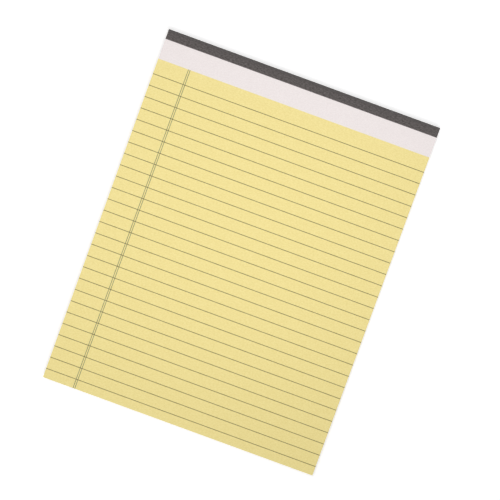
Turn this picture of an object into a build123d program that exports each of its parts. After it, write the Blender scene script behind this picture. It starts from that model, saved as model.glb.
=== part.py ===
from build123d import *
import os

# A top-bound legal pad lying on its back. X runs across it, Y along it with the bound head
# at +Y, and Z up through its thickness. The origin is the middle of its underside.

# Overall size
pad_width = 203.0
pad_length = 280.0

# Sheets and back
sheet_count = 50
sheet_thickness = 0.09
board_thickness = 1.0

# Binding tape, folded over the head. Each flap is measured from the outside of the spine
tape_thickness = 0.18
front_flap = 5.75
back_flap = 14.0
fold_radius = 0.3

# Stitches of flat wire through the head, hidden under the tape
stitch_count = 2
stitch_pitch = 100.0
stitch_inset = 3.0
crown_length = 12.0
clinch_length = 4.5
wire_width = 0.6
wire_thickness = 0.4
bend_radius = 0.5
wire_clearance = 0.05

# Print on the top sheet, placed from the head and from the left side
ink_thickness = 0.02
tint_start = 21.75
rule_width = 0.42
first_rule = 33.8
rule_pitch = 9.19
foot_margin = 6.0
margin_width = 0.4
margin_inset = 23.3
margin_pitch = 1.3

# Levels from the underside up
sheets_bottom = board_thickness
sheets_top = sheets_bottom + sheet_count * sheet_thickness
tint_top = sheets_top + ink_thickness
tape_top = sheets_top + tape_thickness

# Ends: the tape's spine is the head of the pad, and the trimmed paper stops inside it
foot_y = -pad_length / 2
head_y = pad_length / 2
paper_head_y = head_y - tape_thickness
front_flap_y = head_y - front_flap
back_flap_y = head_y - back_flap


def across_pad(section):
    # Carries a section drawn in the YZ plane across the full width
    return extrude(section, amount=pad_width / 2, both=True)


def stitch(profile, extra_length=0.0):
    # One stitch at the middle of the head: a crown on the sheets, two legs down through the
    # sheets and the board, and ends folded inwards under the board
    sunk = wire_thickness / 2 + wire_clearance
    crown_z = sheets_top - sunk
    clinch_z = tape_thickness + sunk
    leg_x = crown_length / 2
    tip_x = leg_x - clinch_length - extra_length
    corners = [
        (-tip_x, clinch_z),
        (-leg_x, clinch_z),
        (-leg_x, crown_z),
        (leg_x, crown_z),
        (leg_x, clinch_z),
        (tip_x, clinch_z),
    ]
    wire_y = head_y - stitch_inset
    path = FilletPolyline([(x, wire_y, z) for x, z in corners], radius=bend_radius)
    start = Plane(origin=path @ 0, x_dir=(0, 1, 0), z_dir=path % 0)
    return sweep(start * profile, path=path)


def along_head(one_stitch):
    # Copies a stitch to each place along the head
    first_x = -stitch_pitch * (stitch_count - 1) / 2
    return [Pos(first_x + i * stitch_pitch, 0, 0) * one_stitch for i in range(stitch_count)]


# Stitches, and the channels that they are pressed into
stitches = along_head(stitch(Rectangle(wire_width, wire_thickness)))
channel = Rectangle(wire_width + 2 * wire_clearance, wire_thickness + 2 * wire_clearance)
channels = along_head(stitch(channel, wire_clearance))

# Sheets: one trimmed block, its upper head edge rounded by the tape's fold
sheets_outline = Polyline(
    (foot_y, sheets_bottom),
    (foot_y, sheets_top),
    (paper_head_y, sheets_top),
    (paper_head_y, sheets_bottom),
    close=True,
)
sheets_face = make_face(Plane.YZ * sheets_outline)
top_corner = sheets_face.vertices().group_by(Axis.Y)[-1].sort_by(Axis.Z)[-1]
ruled_sheets = across_pad(fillet(top_corner, fold_radius)) - channels

# Back: chipboard, its underside pressed in by the tape's back flap so that both lie flush
board_outline = Polyline(
    (foot_y, 0),
    (foot_y, sheets_bottom),
    (paper_head_y, sheets_bottom),
    (paper_head_y, tape_thickness),
    (back_flap_y, tape_thickness),
    (back_flap_y, 0),
    close=True,
)
board_face = make_face(Plane.YZ * board_outline)
under_corner = board_face.vertices().group_by(Axis.Y)[-1].sort_by(Axis.Z)[0]
backing_board = across_pad(fillet(under_corner, fold_radius)) - channels

# Tape: front flap on the top sheet, round the head, back flap under the board
tape_outside = FilletPolyline(
    (front_flap_y, tape_top),
    (head_y, tape_top),
    (head_y, 0),
    (back_flap_y, 0),
    radius=fold_radius + tape_thickness,
)
tape_inside = FilletPolyline(
    (front_flap_y, sheets_top),
    (paper_head_y, sheets_top),
    (paper_head_y, tape_thickness),
    (back_flap_y, tape_thickness),
    radius=fold_radius,
)
tape_ends = [
    Line((front_flap_y, sheets_top), (front_flap_y, tape_top)),
    Line((back_flap_y, 0), (back_flap_y, tape_thickness)),
]
tape_section = make_face(Plane.YZ * Curve([tape_outside, tape_inside, *tape_ends]))
binding_tape = across_pad(tape_section)

# Print: a yellow field from the white head down to the foot, with the lines on top of it
from_foot = (Align.CENTER, Align.MIN, Align.MIN)
centred = (Align.CENTER, Align.CENTER, Align.MIN)
tint_length = pad_length - tint_start
yellow_tint = Pos(0, foot_y, sheets_top) * Box(pad_width, tint_length, ink_thickness, align=from_foot)

# As many rules as fit above the bare strip at the foot
rules = []
rule_count = int((pad_length - first_rule - foot_margin) / rule_pitch) + 1
for i in range(rule_count):
    rule_y = head_y - first_rule - i * rule_pitch
    rule = Box(pad_width, rule_width, ink_thickness, align=centred)
    rules.append(Pos(0, rule_y, tint_top) * rule)

# The upright pair is cut where the rules cross it, so that no ink is counted twice
margins = []
for side in (-1, 1):
    margin_x = margin_inset - pad_width / 2 + side * margin_pitch / 2
    margin = Box(margin_width, tint_length, ink_thickness, align=from_foot)
    margins += (Pos(margin_x, foot_y, tint_top) * margin - rules).solids()

nodes = {
    "ruled_sheets": ruled_sheets,
    "backing_board": backing_board,
    "binding_tape": binding_tape,
    "wire_stitches": Compound(stitches),
    "yellow_tint": yellow_tint,
    "rule_lines": Compound(rules),
    "margin_lines": Compound(margins),
}

os.makedirs("parts", exist_ok=True)
for name, shape in nodes.items():
    export_step(shape, f"parts/{name}.step")
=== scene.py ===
import math
import random

import bpy
from mathutils import Matrix, Vector


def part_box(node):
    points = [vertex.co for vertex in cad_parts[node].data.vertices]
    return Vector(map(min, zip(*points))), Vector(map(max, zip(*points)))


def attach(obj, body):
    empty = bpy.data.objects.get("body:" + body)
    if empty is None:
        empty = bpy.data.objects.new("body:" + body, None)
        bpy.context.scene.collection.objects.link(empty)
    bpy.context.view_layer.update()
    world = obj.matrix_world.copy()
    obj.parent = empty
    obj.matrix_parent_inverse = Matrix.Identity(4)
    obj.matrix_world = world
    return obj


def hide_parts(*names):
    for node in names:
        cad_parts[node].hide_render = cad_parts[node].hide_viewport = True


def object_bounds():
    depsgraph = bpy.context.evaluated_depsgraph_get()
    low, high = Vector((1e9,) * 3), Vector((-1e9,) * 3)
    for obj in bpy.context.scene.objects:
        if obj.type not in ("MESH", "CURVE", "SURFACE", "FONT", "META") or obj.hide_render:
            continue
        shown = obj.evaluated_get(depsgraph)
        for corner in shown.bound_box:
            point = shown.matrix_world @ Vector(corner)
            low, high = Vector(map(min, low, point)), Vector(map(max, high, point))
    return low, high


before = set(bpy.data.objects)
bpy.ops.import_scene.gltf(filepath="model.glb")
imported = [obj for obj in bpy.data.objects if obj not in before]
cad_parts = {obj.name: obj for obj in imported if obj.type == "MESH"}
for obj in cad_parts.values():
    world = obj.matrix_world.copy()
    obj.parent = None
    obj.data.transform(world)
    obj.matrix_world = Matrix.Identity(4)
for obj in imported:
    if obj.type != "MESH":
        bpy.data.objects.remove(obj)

mm = 0.001
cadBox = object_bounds()
print("frame loaded:", ", ".join(sorted(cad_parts)))


def linearColour(hexCode):
    # sRGB hex to the linear colour that shaders take
    channels = [int(hexCode[i:i + 2], 16) / 255 for i in (1, 3, 5)]
    linear = [c / 12.92 if c <= 0.04045 else ((c + 0.055) / 1.055) ** 2.4 for c in channels]
    return (*linear, 1.0)


def perMm(size):
    # texture scale whose features are about this many millimetres across
    return 1 / (size * mm)


def addNode(tree, kind, inputs=None, **settings):
    # one node with its settings; each input is a plain value or another node's output
    node = tree.nodes.new(kind)
    for name, value in settings.items():
        setattr(node, name, value)
    for socket, value in (inputs or {}).items():
        if isinstance(value, bpy.types.NodeSocket):
            tree.links.new(value, node.inputs[socket])
        else:
            node.inputs[socket].default_value = value
    return node


def startMaterial(name):
    # empty material, to be filled node by node
    material = bpy.data.materials.new(name)
    material.use_nodes = True
    material.node_tree.nodes.clear()
    return material, material.node_tree


def dress(node, material):
    # gives a carried-over solid its finish
    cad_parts[node].material_slots[0].material = material


def addMesh(name, vertices, faces):
    # new mesh object in the scene
    mesh = bpy.data.meshes.new(name)
    mesh.from_pydata(vertices, [], faces)
    item = bpy.data.objects.new(name, mesh)
    bpy.context.scene.collection.objects.link(item)
    return item


def newPiece(name, vertices, faces, material, replaced):
    # mesh that rides on the pad and stands for one of its solids
    piece = addMesh(name, vertices, faces)
    piece.data.validate()
    piece.data.update()
    piece.data.materials.append(material)
    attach(piece, "root")
    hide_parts(replaced)
    return piece


# Paper: the same stock is bare at the head and printed below it

paperStock = {
    "cloudMm": 6.0,
    "cloudShare": 0.12,  # the rest of the grain is fibre
    "fibreMm": (1.3, 0.6, 0.6),  # real fibres are about 1 by 0.03 mm, drawn coarse to show
    "toothMm": 0.02,
    "toothStrength": 0.3,
    "ior": 1.45,
    "gloss": 0.25,
}


def pulpGrain(tree, place):
    # how the pulp settled: soft clouds, and short fibres that lie mostly across the sheet
    look = paperStock
    laid = addNode(tree, "ShaderNodeMapping", {
        "Vector": place,
        "Scale": [perMm(size) for size in look["fibreMm"]],
    })
    fibre = addNode(tree, "ShaderNodeTexNoise", {
        "Vector": laid.outputs[0],
        "Scale": 1.0,
        "Detail": 2.0,
    })
    cloud = addNode(tree, "ShaderNodeTexNoise", {
        "Vector": place,
        "Scale": perMm(look["cloudMm"]),
        "Detail": 3.0,
    })
    both = addNode(tree, "ShaderNodeMix", {
        "Factor": look["cloudShare"],
        "A": fibre.outputs["Fac"],
        "B": cloud.outputs["Fac"],
    })
    grain = addNode(tree, "ShaderNodeMapRange", {
        "Value": both.outputs["Result"],
        "From Min": 0.3,
        "From Max": 0.7,
    })
    return grain.outputs[0]


def finishPaper(tree, grain, colour, roughRange):
    # dull surface with the tooth that the pulp gives it
    look = paperStock
    rough = addNode(tree, "ShaderNodeMapRange", {
        "Value": grain,
        "To Min": roughRange[0],
        "To Max": roughRange[1],
    })
    tooth = addNode(tree, "ShaderNodeBump", {
        "Height": grain,
        "Strength": look["toothStrength"],
        "Distance": look["toothMm"] * mm,
    })
    shader = addNode(tree, "ShaderNodeBsdfPrincipled", {
        "Base Color": colour,
        "Roughness": rough.outputs[0],
        "Normal": tooth.outputs[0],
        "IOR": look["ior"],
        "Specular IOR Level": look["gloss"],
    })
    addNode(tree, "ShaderNodeOutputMaterial", {"Surface": shader.outputs[0]})


# Sheets: fifty separate leaves, pressed tight at the stitched head and a little loose at the foot

sheetStack = {
    "sheetCount": 50,
    "paperMm": 0.085,  # the paper alone; the air between leaves makes up the rest
    "trimMm": 0.1,  # most that a leaf stops short of the trimmed sides at the foot
    "headTrimMm": 0.05,  # the same at the head
    "looseFromMm": 45,  # distance from the head over which the leaves loosen
    "unevenness": 1.6,  # how much the air gathers between some leaves
    "wavesPerM": (12, 48),  # slowest and quickest rise and fall of a gap, in radians
    "foldMm": 0.3,  # rounding of the head edge under the tape
    "columns": 8,
    "rows": 12,
    "seed": 50,
    "white": "#F4ECEB",
    "whiteShade": "#EBE2E1",
    # the cut sides run from edgeShade to edgeTint in bands: partly each leaf's own tone, partly painted
    # shade between leaves
    "edgeTint": "#FAF0CC",
    "edgeShade": "#E4D6AB",
    "headEdgeShade": "#DDD5D0",
    "rough": (0.82, 0.95),
    "leafMm": 0.5,  # five or six leaves, because one leaf is too fine to show
    "leafRunMm": 70.0,
    "tintStraysMm": 0.8,  # how far the start of the tint strays from leaf to leaf
    "facing": 0.5,  # a face looks along an axis where its normal has more of it than this
    "mapBands": {  # from where to where each group of faces lies up the texture map
        "bareHead": (0.01, 0.12),
        "foot": (0.13, 0.37),
        "left": (0.38, 0.62),
        "right": (0.63, 0.87),
        "inside": (0.88, 0.96),
        "spine": (0.97, 0.99),
    },
}


def makeUncoatedPaper():
    # uncoated woodfree paper, guillotined in a stack: dull face with a faint cloud of fibres,
    # and cut sides that show fine lines of light and shade
    look = sheetStack
    material, tree = startMaterial("uncoatedPaperGuillotined")
    place = addNode(tree, "ShaderNodeTexCoord").outputs["Object"]
    grain = pulpGrain(tree, place)
    face = addNode(tree, "ShaderNodeMix", {
        "Factor": grain,
        "A": linearColour(look["white"]),
        "B": linearColour(look["whiteShade"]),
    }, data_type="RGBA")

    # the cut sides: leaves seen on edge, yellow where both faces of each leaf carry the tint
    flatten = addNode(tree, "ShaderNodeMapping", {
        "Vector": place,
        "Scale": (perMm(look["leafRunMm"]), perMm(look["leafRunMm"]), perMm(look["leafMm"])),
    })
    # the darker bands, edgeShade and headEdgeShade, are partly the leaves' own tone and partly painted
    # shade in the gaps between leaves
    leaves = addNode(tree, "ShaderNodeTexNoise", {
        "Vector": flatten.outputs[0],
        "Scale": 1.0,
        "Detail": 2.0,
    })
    lines = addNode(tree, "ShaderNodeMapRange", {
        "Value": leaves.outputs["Fac"],
        "From Min": 0.35,
        "From Max": 0.65,
    })
    tinted = addNode(tree, "ShaderNodeMix", {
        "Factor": lines.outputs[0],
        "A": linearColour(look["edgeShade"]),
        "B": linearColour(look["edgeTint"]),
    }, data_type="RGBA")
    plain = addNode(tree, "ShaderNodeMix", {
        "Factor": lines.outputs[0],
        "A": linearColour(look["headEdgeShade"]),
        "B": linearColour(look["white"]),
    }, data_type="RGBA")
    axes = addNode(tree, "ShaderNodeSeparateXYZ", {0: place})
    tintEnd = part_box("yellow_tint")[1].y
    strays = look["tintStraysMm"] * mm
    strayed = addNode(tree, "ShaderNodeMath", {
        0: lines.outputs[0],
        1: strays,
        2: axes.outputs["Y"],
    }, operation="MULTIPLY_ADD")
    pastTint = addNode(tree, "ShaderNodeMath", {
        0: strayed.outputs[0],
        1: tintEnd + strays / 2,
    }, operation="GREATER_THAN")
    side = addNode(tree, "ShaderNodeMix", {
        "Factor": pastTint.outputs[0],
        "A": tinted.outputs["Result"],
        "B": plain.outputs["Result"],
    }, data_type="RGBA")

    surface = addNode(tree, "ShaderNodeNewGeometry")
    normal = addNode(tree, "ShaderNodeSeparateXYZ", {0: surface.outputs["Normal"]})
    upright = addNode(tree, "ShaderNodeMath", {0: normal.outputs["Z"]}, operation="ABSOLUTE")
    onFace = addNode(tree, "ShaderNodeMath", {
        0: upright.outputs[0],
        1: look["facing"],
    }, operation="GREATER_THAN")
    colour = addNode(tree, "ShaderNodeMix", {
        "Factor": onFace.outputs[0],
        "A": side.outputs["Result"],
        "B": face.outputs["Result"],
    }, data_type="RGBA")
    finishPaper(tree, grain, colour.outputs["Result"], look["rough"])
    return material


def airUnderLeaves(low, high, draw):
    # weight of each leaf's air gap at each point of the grid: every gap opens and closes in
    # its own slow wave, and at the head all gaps are alike
    look = sheetStack
    slow, quick = look["wavesPerM"]
    waves = []
    for _ in range(look["sheetCount"]):
        waves.append((draw.uniform(slow, quick), draw.uniform(slow, quick), draw.uniform(0, math.tau)))

    gaps = {}
    for j in range(look["rows"] + 1):
        y = low.y + (high.y - low.y) * j / look["rows"]
        loose = min(1.0, (high.y - y) / (look["looseFromMm"] * mm))
        swing = loose * look["unevenness"]
        for i in range(look["columns"] + 1):
            x = low.x + (high.x - low.x) * i / look["columns"]
            gaps[i, j] = [math.exp(swing * math.sin(ax * x + ay * y + shift)) for ax, ay, shift in waves]
    return gaps


def makeSheets(material):
    look = sheetStack
    low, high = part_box("ruled_sheets")
    draw = random.Random(look["seed"])
    gaps = airUnderLeaves(low, high, draw)
    count, columns, rows = look["sheetCount"], look["columns"], look["rows"]
    paper, fold = look["paperMm"] * mm, look["foldMm"] * mm
    air = (high.z - low.z) - count * paper

    # each leaf is a grid of points below and one above, joined round the rim
    across = columns + 1
    perLayer = across * (rows + 1)
    rim = list(range(across))
    rim += [j * across + columns for j in range(1, rows + 1)]
    rim += [rows * across + i for i in range(columns - 1, -1, -1)]
    rim += [j * across for j in range(rows - 1, 0, -1)]

    vertices, faces = [], []
    for k in range(count):
        # the top sheet has the full trimmed size, and the others stop a little short of it
        topSheet = k == count - 1
        trim = 0.0 if topSheet else look["trimMm"] * mm
        headTrim = 0.0 if topSheet else look["headTrimMm"] * mm
        footInset = draw.random() * trim
        sideInsets = [(draw.random() * trim, draw.random() * headTrim) for _ in range(2)]

        # the tape's fold rounds the heads of the upper leaves
        headInset = 0.0
        sheetTop = low.z + (k + 1) * (high.z - low.z) / count
        aboveFold = sheetTop - (high.z - fold)
        if aboveFold > 0:
            headInset = fold - math.sqrt(max(fold ** 2 - aboveFold ** 2, 0))

        first = len(vertices)
        below, above = [], []
        for j in range(rows + 1):
            along = j / rows
            y = (low.y + footInset) * (1 - along) + (high.y - headInset) * along
            left = low.x + sideInsets[0][0] * (1 - along) + sideInsets[0][1] * along
            right = high.x - sideInsets[1][0] * (1 - along) - sideInsets[1][1] * along
            for i in range(across):
                x = left + (right - left) * i / columns
                weights = gaps[i, j]
                z = low.z + k * paper + air * sum(weights[:k + 1]) / sum(weights)
                below.append((x, y, z))
                above.append((x, y, z + paper))
        vertices += below + above

        for j in range(rows):
            for i in range(columns):
                a = first + j * across + i
                b, c, d = a + 1, a + 1 + across, a + across
                faces.append((a, d, c, b))
                faces.append((a + perLayer, b + perLayer, c + perLayer, d + perLayer))
        for here, there in zip(rim, rim[1:] + rim[:1]):
            a, b = first + here, first + there
            faces.append((a, b, b + perLayer, a + perLayer))
    return newPiece("writingSheets", vertices, faces, material, "ruled_sheets")


stitchHoles = {
    "crownMm": 12.0,  # a stitch from leg to leg
    "wireMm": 0.4,
    "clearMm": 0.05,  # room round the wire
    "pastMm": 0.1,  # how far the punch runs past the stack
}


def pierceSheets(piece):
    # each stitch has its legs down through all leaves, and its crown in a slot in the top few
    look = stitchHoles
    low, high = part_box("wire_stitches")
    under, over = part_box("ruled_sheets")
    crown, wire = look["crownMm"] * mm, look["wireMm"] * mm
    clear, past = look["clearMm"] * mm, look["pastMm"] * mm
    outer, inner = (crown + wire) / 2 + clear, (crown - wire) / 2 - clear
    bottom, top, slotFloor = under.z - past, over.z + past, high.z - wire - clear
    bridge = [(-outer, bottom), (-outer, top), (outer, top), (outer, bottom)]
    bridge += [(inner, bottom), (inner, slotFloor), (-inner, slotFloor), (-inner, bottom)]
    count = len(bridge)
    vertices, faces = [], []
    for middle in (low.x + (crown + wire) / 2, high.x - (crown + wire) / 2):
        first = len(vertices)
        vertices += [(middle + x, low.y - clear, z) for x, z in bridge]
        vertices += [(middle + x, high.y + clear, z) for x, z in bridge]
        faces.append([first + n for n in reversed(range(count))])
        faces.append([first + count + n for n in range(count)])
        for n in range(count):
            a, b = first + n, first + (n + 1) % count
            faces.append((a, b, b + count, a + count))
    punch = addMesh("stitchPunch", vertices, faces)

    cut = piece.modifiers.new("stitchHoles", "BOOLEAN")
    cut.operation = "DIFFERENCE"
    cut.solver = "EXACT"
    cut.object = punch
    pierced = piece.evaluated_get(bpy.context.evaluated_depsgraph_get())
    whole, piece.data = piece.data, bpy.data.meshes.new_from_object(pierced)
    piece.modifiers.remove(cut)
    bpy.data.objects.remove(punch)
    bpy.data.meshes.remove(whole)


def mapSheets(piece):
    # texture map for a baked copy: the bare head and the cut sides, which show, get most of it
    look = sheetStack
    low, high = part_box("ruled_sheets")
    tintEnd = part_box("yellow_tint")[1].y
    headRow = high.y - (high.y - low.y) / look["rows"]
    underTop = high.z - look["paperMm"] * mm / 2
    mesh = piece.data
    layer = mesh.uv_layers.new(name="OFBake")
    for face in mesh.polygons:
        x, y, z = face.normal
        toSide = min(face.center.x - low.x, high.x - face.center.x)
        toEnd = min(face.center.y - low.y, high.y - face.center.y)
        if abs(z) > look["facing"]:
            bare = face.center.z > underTop and face.center.y > tintEnd
            band, run, rise = "bareHead" if bare else "inside", 0, 1
        elif min(toSide, toEnd) > look["foldMm"] * mm:
            band, run, rise = "spine", 0, 2  # walls of the holes for the stitches
        elif abs(x) > look["facing"]:
            band, run, rise = "left" if x < 0 else "right", 1, 2
        else:
            band, run, rise = "foot" if y < 0 else "spine", 0, 2
        start = headRow if band == "bareHead" else low[rise]
        bottom, top = look["mapBands"][band]
        for corner in face.loop_indices:
            spot = mesh.vertices[mesh.loops[corner].vertex_index].co
            along = (spot[run] - low[run]) / (high[run] - low[run])
            up = (spot[rise] - start) / (high[rise] - start)
            layer.uv[corner].vector = (along, bottom + (top - bottom) * up)


sheets = makeSheets(makeUncoatedPaper())
pierceSheets(sheets)
mapSheets(sheets)
print("sheets stacked and pierced for the stitches")


# Print on the top sheet: the yellow field and the ruled lines are carried over as thin ink

fieldPrint = {
    "yellow": "#F8E8A2",
    "yellowShade": "#EDDB90",
    "rough": (0.8, 0.93),
}


def makeYellowTint():
    # thin offset tint on uncoated paper: the paper's tooth and a faint cloud show through
    look = fieldPrint
    material, tree = startMaterial("yellowTintOnUncoatedPaper")
    place = addNode(tree, "ShaderNodeTexCoord").outputs["Object"]
    grain = pulpGrain(tree, place)
    colour = addNode(tree, "ShaderNodeMix", {
        "Factor": grain,
        "A": linearColour(look["yellow"]),
        "B": linearColour(look["yellowShade"]),
    }, data_type="RGBA")
    finishPaper(tree, grain, colour.outputs["Result"], look["rough"])
    return material


linePrint = {
    "rule": "#504B33",
    "ruleThin": "#625D45",
    "margin": "#6A785E",
    "marginThin": "#7B8970",
    "crossing": "#24281C",  # where a rule is printed over a margin line
    "marginWidthMm": 0.4,
    "skipMm": 2.5,  # length of the paler stretches where the ink took less well
    "rough": 0.85,
    "ior": 1.45,
    "gloss": 0.1,
}


def makeLineInk(name, full, thin):
    # dark offset ink soaked into yellow paper: dull, olive to grey-green, a little uneven along
    # its length, and darker where two lines cross
    look = linePrint
    material, tree = startMaterial(name)
    place = addNode(tree, "ShaderNodeTexCoord").outputs["Object"]
    skips = addNode(tree, "ShaderNodeTexNoise", {
        "Vector": place,
        "Scale": perMm(look["skipMm"]),
        "Detail": 3.0,
    })
    cover = addNode(tree, "ShaderNodeMapRange", {
        "Value": skips.outputs["Fac"],
        "From Min": 0.4,
        "From Max": 0.75,
    })
    oneInk = addNode(tree, "ShaderNodeMix", {
        "Factor": cover.outputs[0],
        "A": linearColour(look[full]),
        "B": linearColour(look[thin]),
    }, data_type="RGBA")
    result = oneInk.outputs["Result"]

    if full == "rule":
        # both margin lines stand the same distance from the middle of their pair
        left, right = (corner.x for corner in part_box("margin_lines"))
        halfLine = look["marginWidthMm"] * mm / 2
        axes = addNode(tree, "ShaderNodeSeparateXYZ", {0: place})
        aside = addNode(tree, "ShaderNodeMath", {
            0: axes.outputs["X"],
            1: (left + right) / 2,
        }, operation="SUBTRACT")
        apart = addNode(tree, "ShaderNodeMath", {0: aside.outputs[0]}, operation="ABSOLUTE")
        onMargin = addNode(tree, "ShaderNodeMath", {
            0: apart.outputs[0],
            1: (right - left) / 2 - halfLine,
            2: halfLine,
        }, operation="COMPARE")
        twoInks = addNode(tree, "ShaderNodeMix", {
            "Factor": onMargin.outputs[0],
            "A": result,
            "B": linearColour(look["crossing"]),
        }, data_type="RGBA")
        result = twoInks.outputs["Result"]

    shader = addNode(tree, "ShaderNodeBsdfPrincipled", {
        "Base Color": result,
        "Roughness": look["rough"],
        "IOR": look["ior"],
        "Specular IOR Level": look["gloss"],
    })
    addNode(tree, "ShaderNodeOutputMaterial", {"Surface": shader.outputs[0]})
    return material


dress("yellow_tint", makeYellowTint())
dress("rule_lines", makeLineInk("ruleInkOffset", "rule", "ruleThin"))
dress("margin_lines", makeLineInk("marginInkOffset", "margin", "marginThin"))
print("top sheet printed")


# Binding tape: one strip folded over the head

bindingTape = {
    "thicknessMm": 0.18,
    "frontFlapMm": 5.75,
    "foldMm": 0.3,  # inside radius of the folds
    "foldSteps": 8,
    "stepMm": 2.0,
    "edgeWanderMm": 0.06,  # how far the slit front edge wanders
    "edgeKeeps": 0.7,  # share of the wander that each step keeps of the step before
    "creaseDeg": 40,  # turns above this show as edges
    "seed": 7,
    "dark": "#554F4E",
    # painted highlight on the raised threads, and below it painted shade in the sunken streaks
    "threadHighlight": "#75706E",
    "pitShade": "#383332",
    "threadMm": 0.9,  # the emboss is about 0.4 mm, drawn coarse to show
    "threadWobble": 1.5,
    "streakMm": (1.8, 0.8),
    "rough": (0.75, 0.62),  # between the threads and on top of them
    "reliefMm": 0.04,
    "reliefStrength": 0.4,
    "ior": 1.48,
    "gloss": 0.3,
}


def makeLinenTape():
    # paper binding tape embossed like linen: matt, dark, with a fine crossed grain, painted highlight on
    # its raised threads and painted shade in its sunken streaks
    look = bindingTape
    material, tree = startMaterial("linenEmbossedPaperTape")
    place = addNode(tree, "ShaderNodeTexCoord").outputs["Object"]
    axes = addNode(tree, "ShaderNodeSeparateXYZ", {0: place})
    # the distance round the fold, so that the grain runs on from flap to spine
    unrolled = addNode(tree, "ShaderNodeMath", {
        0: axes.outputs["Y"],
        1: axes.outputs["Z"],
    }, operation="SUBTRACT")
    flat = addNode(tree, "ShaderNodeCombineXYZ", {"X": axes.outputs["X"], "Y": unrolled.outputs[0]})

    bands = math.tau * perMm(look["threadMm"]) / 20  # a wave texture repeats every tau / 20
    threads = []
    for direction in ("X", "Y"):
        wave = addNode(tree, "ShaderNodeTexWave", {
            "Vector": flat.outputs[0],
            "Scale": bands,
            "Distortion": look["threadWobble"],
            "Detail": 2.0,
            "Detail Scale": 2.0,
        }, bands_direction=direction)
        threads.append(wave.outputs["Fac"])
    weave = addNode(tree, "ShaderNodeMath", {0: threads[0], 1: threads[1]}, operation="MULTIPLY")
    # painted highlight: the raised threads are drawn lighter than the dark tape
    highlitWeave = addNode(tree, "ShaderNodeMix", {
        "Factor": weave.outputs[0],
        "A": linearColour(look["dark"]),
        "B": linearColour(look["threadHighlight"]),
    }, data_type="RGBA")

    stretched = addNode(tree, "ShaderNodeMapping", {
        "Vector": flat.outputs[0],
        "Scale": (perMm(look["streakMm"][0]), perMm(look["streakMm"][1]), 1.0),
    })
    streak = addNode(tree, "ShaderNodeTexNoise", {
        "Vector": stretched.outputs[0],
        "Scale": 1.0,
        "Detail": 2.0,
    })
    sunk = addNode(tree, "ShaderNodeMapRange", {
        "Value": streak.outputs["Fac"],
        "From Min": 0.4,
        "From Max": 0.75,
    })
    # painted shade: the sunken streaks are drawn darker, where the relief sinks
    colour = addNode(tree, "ShaderNodeMix", {
        "Factor": sunk.outputs[0],
        "A": highlitWeave.outputs["Result"],
        "B": linearColour(look["pitShade"]),
    }, data_type="RGBA")

    height = addNode(tree, "ShaderNodeMath", {
        0: weave.outputs[0],
        1: sunk.outputs[0],
    }, operation="SUBTRACT")
    relief = addNode(tree, "ShaderNodeBump", {
        "Height": height.outputs[0],
        "Strength": look["reliefStrength"],
        "Distance": look["reliefMm"] * mm,
    })
    rough = addNode(tree, "ShaderNodeMapRange", {
        "Value": weave.outputs[0],
        "To Min": look["rough"][0],
        "To Max": look["rough"][1],
    })
    shader = addNode(tree, "ShaderNodeBsdfPrincipled", {
        "Base Color": colour.outputs["Result"],
        "Roughness": rough.outputs[0],
        "Normal": relief.outputs[0],
        "IOR": look["ior"],
        "Specular IOR Level": look["gloss"],
    })
    addNode(tree, "ShaderNodeOutputMaterial", {"Surface": shader.outputs[0]})
    return material


def makeTape(material):
    look = bindingTape
    low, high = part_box("binding_tape")
    draw = random.Random(look["seed"])
    thick, fold, steps = look["thicknessMm"] * mm, look["foldMm"] * mm, look["foldSteps"]
    frontY = high.y - look["frontFlapMm"] * mm

    def bend(radius, startDeg):
        # a quarter turn of the fold, clockwise from startDeg, about that fold's centre
        centreY = high.y - thick - fold
        centreZ = high.z - thick - fold if startDeg == 90 else low.z + thick + fold
        turns = [math.radians(startDeg - 90 * s / steps) for s in range(steps + 1)]
        return [(centreY + radius * math.cos(t), centreZ + radius * math.sin(t)) for t in turns]

    outside = [(frontY, high.z)] + bend(fold + thick, 90) + bend(fold + thick, 0) + [(low.y, low.z)]
    inside = [(frontY, high.z - thick)] + bend(fold, 90) + bend(fold, 0) + [(low.y, low.z + thick)]
    section = outside + inside[::-1]
    ring = len(section)
    stations = round((high.x - low.x) / (look["stepMm"] * mm))
    keeps = look["edgeKeeps"]
    vertices, faces = [], []
    wander = 0.0
    for s in range(stations + 1):
        x = low.x + (high.x - low.x) * s / stations
        wander = keeps * wander + (1 - keeps) * draw.uniform(-1, 1)
        for number, (y, z) in enumerate(section):
            onFrontEdge = number in (0, ring - 1)
            vertices.append((x, y + wander * look["edgeWanderMm"] * mm * onFrontEdge, z))
    for s in range(stations):
        for n in range(ring):
            a, b = s * ring + n, s * ring + (n + 1) % ring
            faces.append((a, a + ring, b + ring, b))

    # the cut ends are closed by one quad for each step round the strip
    for start, flip in ((0, True), (stations * ring, False)):
        for n in range(len(outside) - 1):
            quad = (start + n, start + ring - 1 - n, start + ring - 2 - n, start + n + 1)
            faces.append(quad[::-1] if flip else quad)
    tape = newPiece("foldedTape", vertices, faces, material, "binding_tape")
    tape.data.shade_smooth()
    tape.data.set_sharp_from_angle(angle=math.radians(look["creaseDeg"]))


makeTape(makeLinenTape())
print("tape folded over the head")


# Back board and the stitches under the tape, both carried over

backBoard = {
    "grey": "#8F8474",
    "fibrePale": "#A89C8A",
    "fleckDark": "#5F564B",
    "fibreMm": (0.9, 5.0),  # across and along the pad; real fibres are finer, drawn coarse to show
    "fleckMm": 1.6,
    "plyMm": 0.3,
    "rough": (0.85, 0.97),
    "reliefMm": 0.05,
    "reliefStrength": 0.35,
    "ior": 1.45,
    "gloss": 0.2,
}


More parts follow.
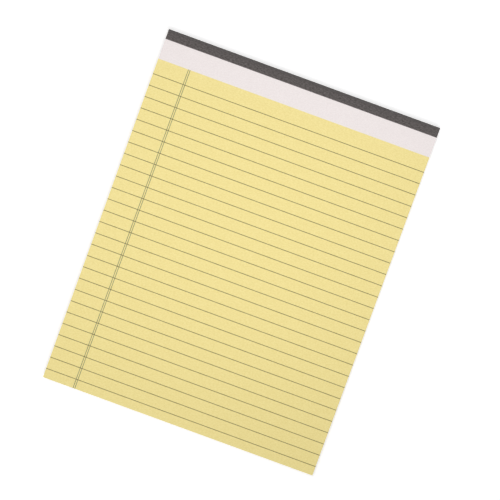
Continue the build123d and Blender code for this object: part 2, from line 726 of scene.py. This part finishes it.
def makeChipboard():
    # recycled grey chipboard, rolled in plies: matt, pale and dark fibres, ply lines on the cut edge
    look = backBoard
    material, tree = startMaterial("greyChipboardRolled")
    place = addNode(tree, "ShaderNodeTexCoord").outputs["Object"]
    grain = addNode(tree, "ShaderNodeMapping", {
        "Vector": place,
        "Scale": (perMm(look["fibreMm"][0]), perMm(look["fibreMm"][1]), perMm(look["plyMm"])),
    })
    fibre = addNode(tree, "ShaderNodeTexNoise", {
        "Vector": grain.outputs[0],
        "Scale": 1.0,
        "Detail": 5.0,
        "Roughness": 0.65,
    })
    pale = addNode(tree, "ShaderNodeMapRange", {
        "Value": fibre.outputs["Fac"],
        "From Min": 0.4,
        "From Max": 0.75,
    })
    body = addNode(tree, "ShaderNodeMix", {
        "Factor": pale.outputs[0],
        "A": linearColour(look["grey"]),
        "B": linearColour(look["fibrePale"]),
    }, data_type="RGBA")

    flecks = addNode(tree, "ShaderNodeTexNoise", {
        "Vector": place,
        "Scale": perMm(look["fleckMm"]),
        "Detail": 2.0,
    })
    dark = addNode(tree, "ShaderNodeMapRange", {
        "Value": flecks.outputs["Fac"],
        "From Min": 0.62,
        "From Max": 0.72,
    })
    colour = addNode(tree, "ShaderNodeMix", {
        "Factor": dark.outputs[0],
        "A": body.outputs["Result"],
        "B": linearColour(look["fleckDark"]),
    }, data_type="RGBA")

    relief = addNode(tree, "ShaderNodeBump", {
        "Height": fibre.outputs["Fac"],
        "Strength": look["reliefStrength"],
        "Distance": look["reliefMm"] * mm,
    })
    rough = addNode(tree, "ShaderNodeMapRange", {
        "Value": fibre.outputs["Fac"],
        "To Min": look["rough"][0],
        "To Max": look["rough"][1],
    })
    shader = addNode(tree, "ShaderNodeBsdfPrincipled", {
        "Base Color": colour.outputs["Result"],
        "Roughness": rough.outputs[0],
        "Normal": relief.outputs[0],
        "IOR": look["ior"],
        "Specular IOR Level": look["gloss"],
    })
    addNode(tree, "ShaderNodeOutputMaterial", {"Surface": shader.outputs[0]})
    return material


stitchWire = {
    "zinc": "#B9BABA",
    "zincDull": "#8E9091",
    "drawMm": (3.0, 0.08),  # length and width of the lines that the die leaves
    "rough": (0.3, 0.5),
}


def makeDrawnWire():
    # galvanised flat wire, drawn through a die: grey, with fine lines along it
    look = stitchWire
    material, tree = startMaterial("galvanisedWireDrawn")
    place = addNode(tree, "ShaderNodeTexCoord").outputs["Object"]
    length, width = (perMm(size) for size in look["drawMm"])
    drawn = addNode(tree, "ShaderNodeMapping", {"Vector": place, "Scale": (length, width, length)})
    scratches = addNode(tree, "ShaderNodeTexNoise", {
        "Vector": drawn.outputs[0],
        "Scale": 1.0,
        "Detail": 2.0,
    })
    colour = addNode(tree, "ShaderNodeMix", {
        "Factor": scratches.outputs["Fac"],
        "A": linearColour(look["zinc"]),
        "B": linearColour(look["zincDull"]),
    }, data_type="RGBA")
    rough = addNode(tree, "ShaderNodeMapRange", {
        "Value": scratches.outputs["Fac"],
        "To Min": look["rough"][0],
        "To Max": look["rough"][1],
    })
    shader = addNode(tree, "ShaderNodeBsdfPrincipled", {
        "Base Color": colour.outputs["Result"],
        "Metallic": 1.0,
        "Roughness": rough.outputs[0],
    })
    addNode(tree, "ShaderNodeOutputMaterial", {"Surface": shader.outputs[0]})
    return material


dress("backing_board", makeChipboard())
dress("wire_stitches", makeDrawnWire())
print("board and stitches finished")


# Studio: white floor, even soft light, and one lamp over the pad that leans to the head on the left

studio = {
    "white": "#FFFFFF",
    "floorSizeM": 12.0,
    "floorDropMm": 0.05,
    "floorPaper": "#E7E7E7",
    "floorGlow": 0.44,  # lifts the lit floor to white for the camera and keeps the shadow
    "skyStrength": 0.353,
    "suns": {  # strength, spread in degrees, where the light comes from
        "keySun": (1.18, 40, (-0.35, 0.75, 1.0)),
        "fillSun": (0.95, 60, (0.6, -0.8, 0.45)),
    },
    "lampPower": 0.65,
    "lampSizeM": 0.25,
    "lampFromMm": (65, -37, 396),
    "lampAimMm": (-540, 600, 0),
}


def seenDirectly(tree):
    # 1 for what the camera sees, straight on or in a mirror or through glass
    path = addNode(tree, "ShaderNodeLightPath")
    mirror = addNode(tree, "ShaderNodeMath", {
        0: path.outputs["Is Camera Ray"],
        1: path.outputs["Is Glossy Ray"],
    }, operation="MAXIMUM")
    seen = addNode(tree, "ShaderNodeMath", {
        0: mirror.outputs[0],
        1: path.outputs["Is Transmission Ray"],
    }, operation="MAXIMUM")
    return seen.outputs[0]


def makePaperSweep():
    # roll of white background paper: plain matt, lifted to white where the camera sees it
    material, tree = startMaterial("whitePaperSweep")
    matt = addNode(tree, "ShaderNodeBsdfDiffuse", {"Color": linearColour(studio["floorPaper"])})
    glow = addNode(tree, "ShaderNodeEmission", {
        "Color": linearColour(studio["white"]),
        "Strength": studio["floorGlow"],
    })
    lifted = addNode(tree, "ShaderNodeAddShader", {0: matt.outputs[0], 1: glow.outputs[0]})
    mixed = addNode(tree, "ShaderNodeMixShader", {
        0: seenDirectly(tree),
        1: matt.outputs[0],
        2: lifted.outputs[0],
    })
    addNode(tree, "ShaderNodeOutputMaterial", {"Surface": mixed.outputs[0]})
    return material


def makeFloor(material):
    half = studio["floorSizeM"] / 2
    drop = -studio["floorDropMm"] * mm
    corners = [(-half, -half, drop), (half, -half, drop), (half, half, drop), (-half, half, drop)]
    floor = addMesh("studioFloor", corners, [(0, 1, 2, 3)])
    floor.data.materials.append(material)


def addLight(name, kind, strength, source):
    # light that shines from the direction of its source
    data = bpy.data.lights.new(name, kind)
    data.energy = strength
    light = bpy.data.objects.new(name, data)
    light.rotation_euler = source.to_track_quat("Z", "Y").to_euler()
    bpy.context.scene.collection.objects.link(light)
    return light


def makeLight():
    world = bpy.data.worlds.new("studioSky")
    bpy.context.scene.world = world
    world.use_nodes = True
    tree = world.node_tree
    tree.nodes.clear()
    white = linearColour(studio["white"])
    sky = addNode(tree, "ShaderNodeBackground", {"Color": white, "Strength": studio["skyStrength"]})
    backdrop = addNode(tree, "ShaderNodeBackground", {"Color": white, "Strength": 1.0})
    mixed = addNode(tree, "ShaderNodeMixShader", {
        0: seenDirectly(tree),
        1: sky.outputs[0],
        2: backdrop.outputs[0],
    })
    addNode(tree, "ShaderNodeOutputWorld", {"Surface": mixed.outputs[0]})

    for name, (strength, spread, source) in studio["suns"].items():
        sun = addLight(name, "SUN", strength, Vector(source))
        sun.data.angle = math.radians(spread)

    stand = Vector(studio["lampFromMm"]) * mm
    aim = Vector(studio["lampAimMm"]) * mm
    lamp = addLight("leaningLamp", "AREA", studio["lampPower"], stand - aim)
    lamp.data.size = studio["lampSizeM"]
    lamp.location = stand
    lamp.visible_camera = False


makeFloor(makePaperSweep())
makeLight()
print("studio lit")


# Camera: long lens over the head of the pad, turned so that the pad slants in the picture

camera = {
    "lensMm": 1600.0,
    "sensorMm": 36.0,
    "leanDeg": 22.2,  # off plumb, towards the head
    "rollDeg": 20.07,  # turn of the pad in the picture
    "pictureMm": 352.7,  # real width that the picture covers
    "picturePixels": 500,
    "padCentre": (240.95, 252.87),  # middle of the pad's outline in the picture, in pixels
}


def makeCamera():
    view = camera
    lean, roll = math.radians(view["leanDeg"]), math.radians(view["rollDeg"])
    back = Vector((0, math.sin(lean), math.cos(lean)))
    across = Vector((1, 0, 0))
    headward = back.cross(across)
    right = across * math.cos(roll) + headward * math.sin(roll)
    up = headward * math.cos(roll) - across * math.sin(roll)

    # the outline runs from the foot of the spine to the top edge at the foot of the pad
    low, high = cadBox
    topOfOutline = Vector((0, high.y, low.z)).dot(headward)
    endOfOutline = Vector((0, low.y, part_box("yellow_tint")[1].z)).dot(headward)
    middle = headward * (topOfOutline + endOfOutline) / 2
    perPixel = view["pictureMm"] * mm / view["picturePixels"]
    half = view["picturePixels"] / 2
    middle += right * (half - view["padCentre"][0]) * perPixel
    middle += up * (view["padCentre"][1] - half) * perPixel

    data = bpy.data.cameras.new("longLens")
    data.lens = view["lensMm"]
    data.sensor_width = view["sensorMm"]
    distance = view["pictureMm"] * mm * data.lens / data.sensor_width
    data.clip_end = distance * 2  # well past the floor
    eye = bpy.data.objects.new("longLens", data)
    turn = Matrix((right, up, back)).transposed().to_4x4()
    eye.matrix_world = Matrix.Translation(middle + back * distance) @ turn
    bpy.context.scene.collection.objects.link(eye)
    bpy.context.scene.camera = eye


makeCamera()
bpy.context.scene.view_settings.view_transform = "Standard"
print("camera placed")
